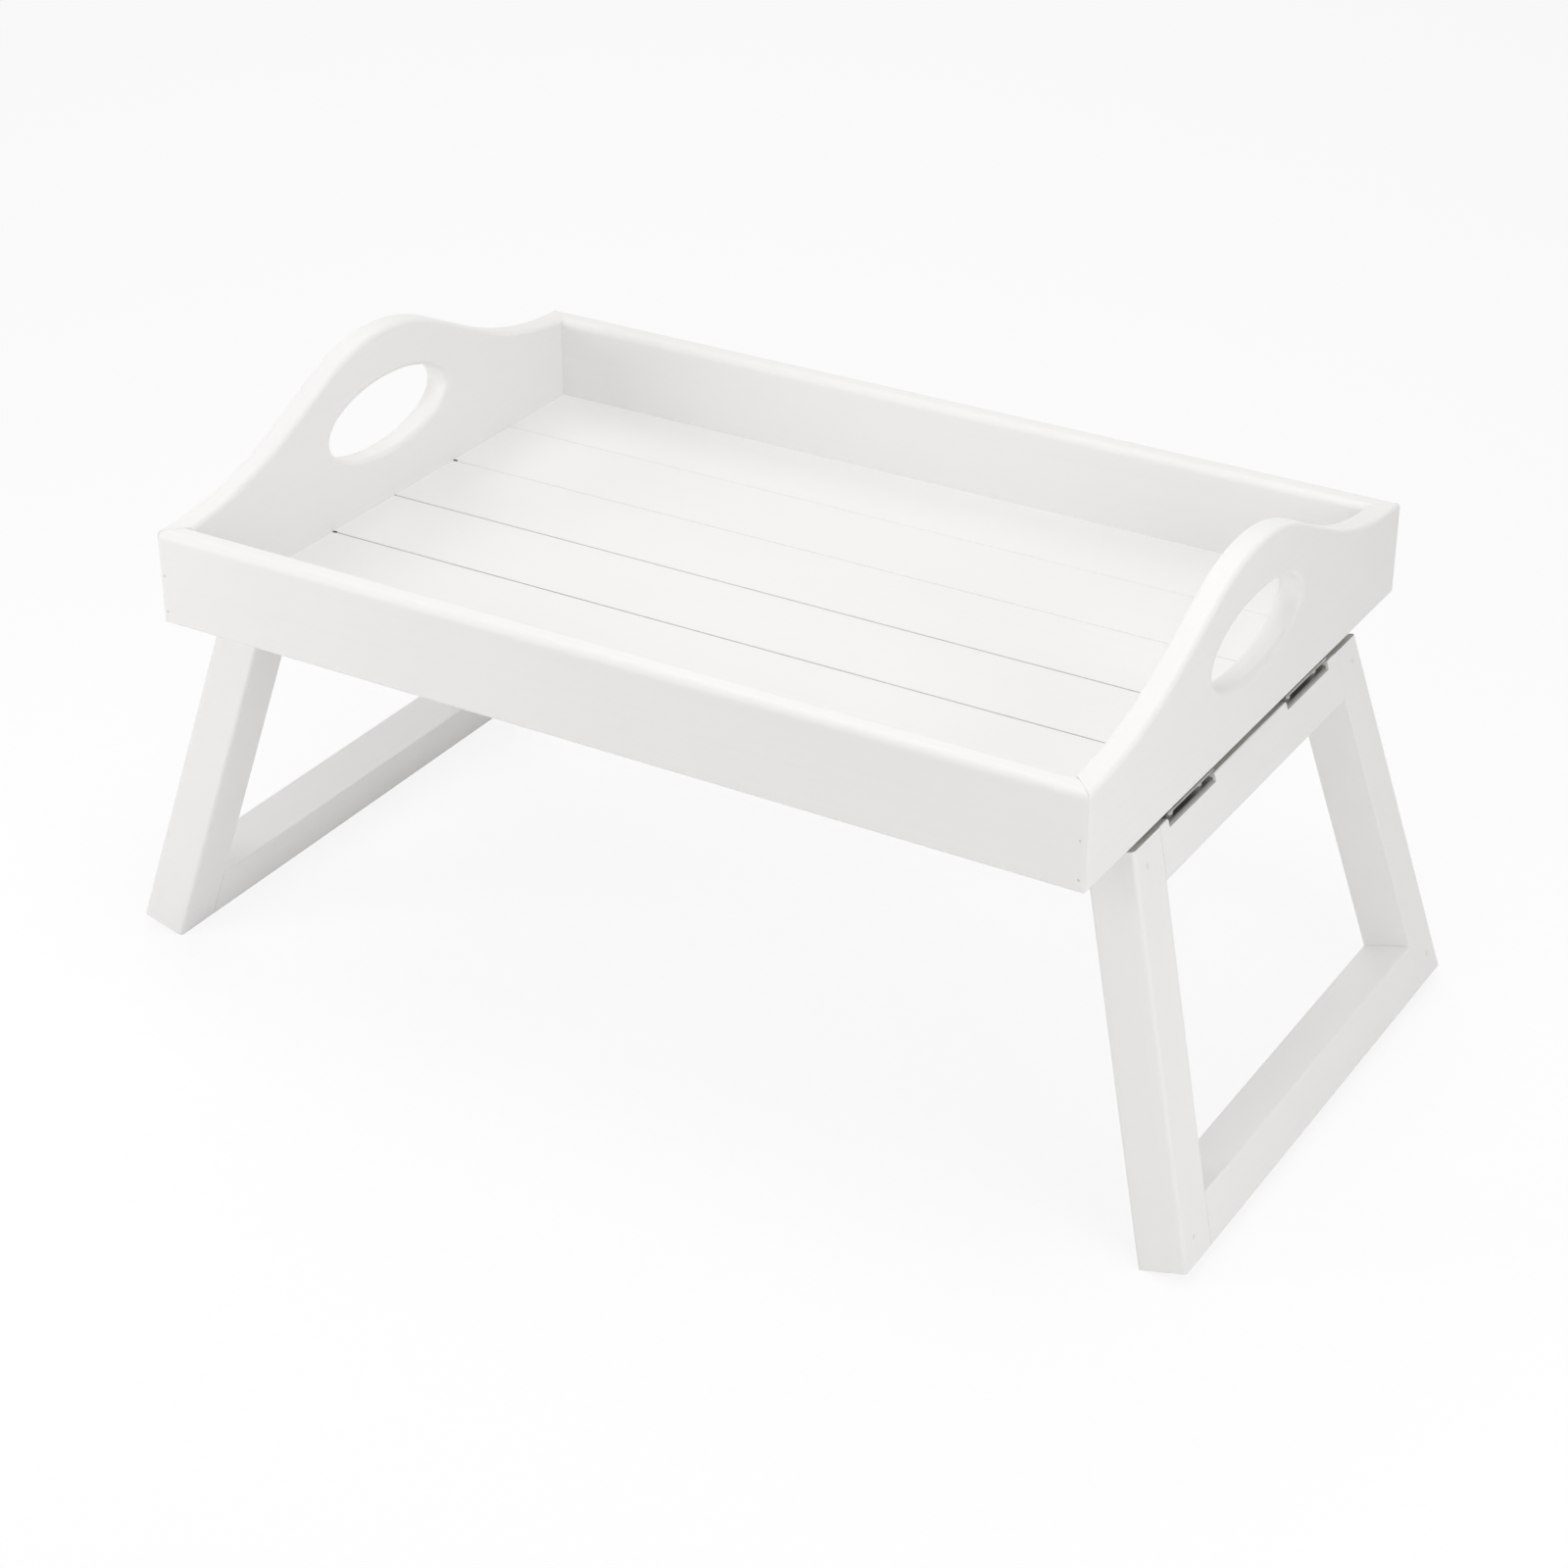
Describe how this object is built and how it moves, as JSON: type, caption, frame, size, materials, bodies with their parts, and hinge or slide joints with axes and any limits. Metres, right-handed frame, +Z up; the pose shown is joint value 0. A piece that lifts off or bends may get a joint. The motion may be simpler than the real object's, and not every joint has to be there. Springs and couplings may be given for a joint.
{
  "type": "bed tray table",
  "caption": "White wooden breakfast-in-bed tray with humped hand-holed ends, a boarded floor and splayed leg frames that fold flat underneath.",
  "frame": {"origin": "on the floor, under the middle of the tray", "axes": "+X along the tray's length to the right-hand end, +Y to the rear rail, +Z up"},
  "size_m": [0.601, 0.34, 0.295],
  "materials": {
    "painted_wood": "soft-white paint, satin",
    "painted_floor": "soft-white paint on tongued boards, satin",
    "hinge_steel": "dull plated steel",
    "fastener_steel": "plain steel; hidden, so assumed",
    "peg_wood": "wooden dowel, painted over; the kind of wood is assumed"
  },
  "bodies": {
    "tray": {"end_panel_left": "painted_wood", "end_panel_right": "painted_wood", "rail_front": "painted_wood", "rail_rear": "painted_wood", "floor_board_1": "painted_floor", "floor_board_2": "painted_floor", "floor_board_3": "painted_floor", "floor_board_4": "painted_floor", "floor_board_5": "painted_floor", "floor_board_6": "painted_floor", "floor_nails": "fastener_steel", "corner_brads": "fastener_steel", "hinge_screws_tray": "fastener_steel", "hinge_leaf_upper_right_front": "hinge_steel", "hinge_pin_right_front": "hinge_steel", "hinge_leaf_upper_right_rear": "hinge_steel", "hinge_pin_right_rear": "hinge_steel", "hinge_leaf_upper_left_front": "hinge_steel", "hinge_pin_left_front": "hinge_steel", "hinge_leaf_upper_left_rear": "hinge_steel", "hinge_pin_left_rear": "hinge_steel"},
    "leg_frame_right": {"leg_right_front": "painted_wood", "leg_right_rear": "painted_wood", "top_bar_right": "painted_wood", "foot_bar_right": "painted_wood", "joint_pegs_right": "peg_wood", "hinge_leaf_lower_right_front": "hinge_steel", "hinge_leaf_lower_right_rear": "hinge_steel", "hinge_screws_right": "fastener_steel"},
    "leg_frame_left": {"leg_left_front": "painted_wood", "leg_left_rear": "painted_wood", "top_bar_left": "painted_wood", "foot_bar_left": "painted_wood", "joint_pegs_left": "peg_wood", "hinge_leaf_lower_left_front": "hinge_steel", "hinge_leaf_lower_left_rear": "hinge_steel", "hinge_screws_left": "fastener_steel"}
  },
  "joints": [
    {"name": "fold_right", "type": "hinge", "parent": "tray", "child": "leg_frame_right", "pos_m": [0.223, 0, 0.19427], "axis": [0, 1, 0], "range_deg": [0, 105]},
    {"name": "fold_left", "type": "hinge", "parent": "tray", "child": "leg_frame_left", "pos_m": [-0.223, 0, 0.19427], "axis": [0, -1, 0], "range_deg": [0, 105]}
  ]
}
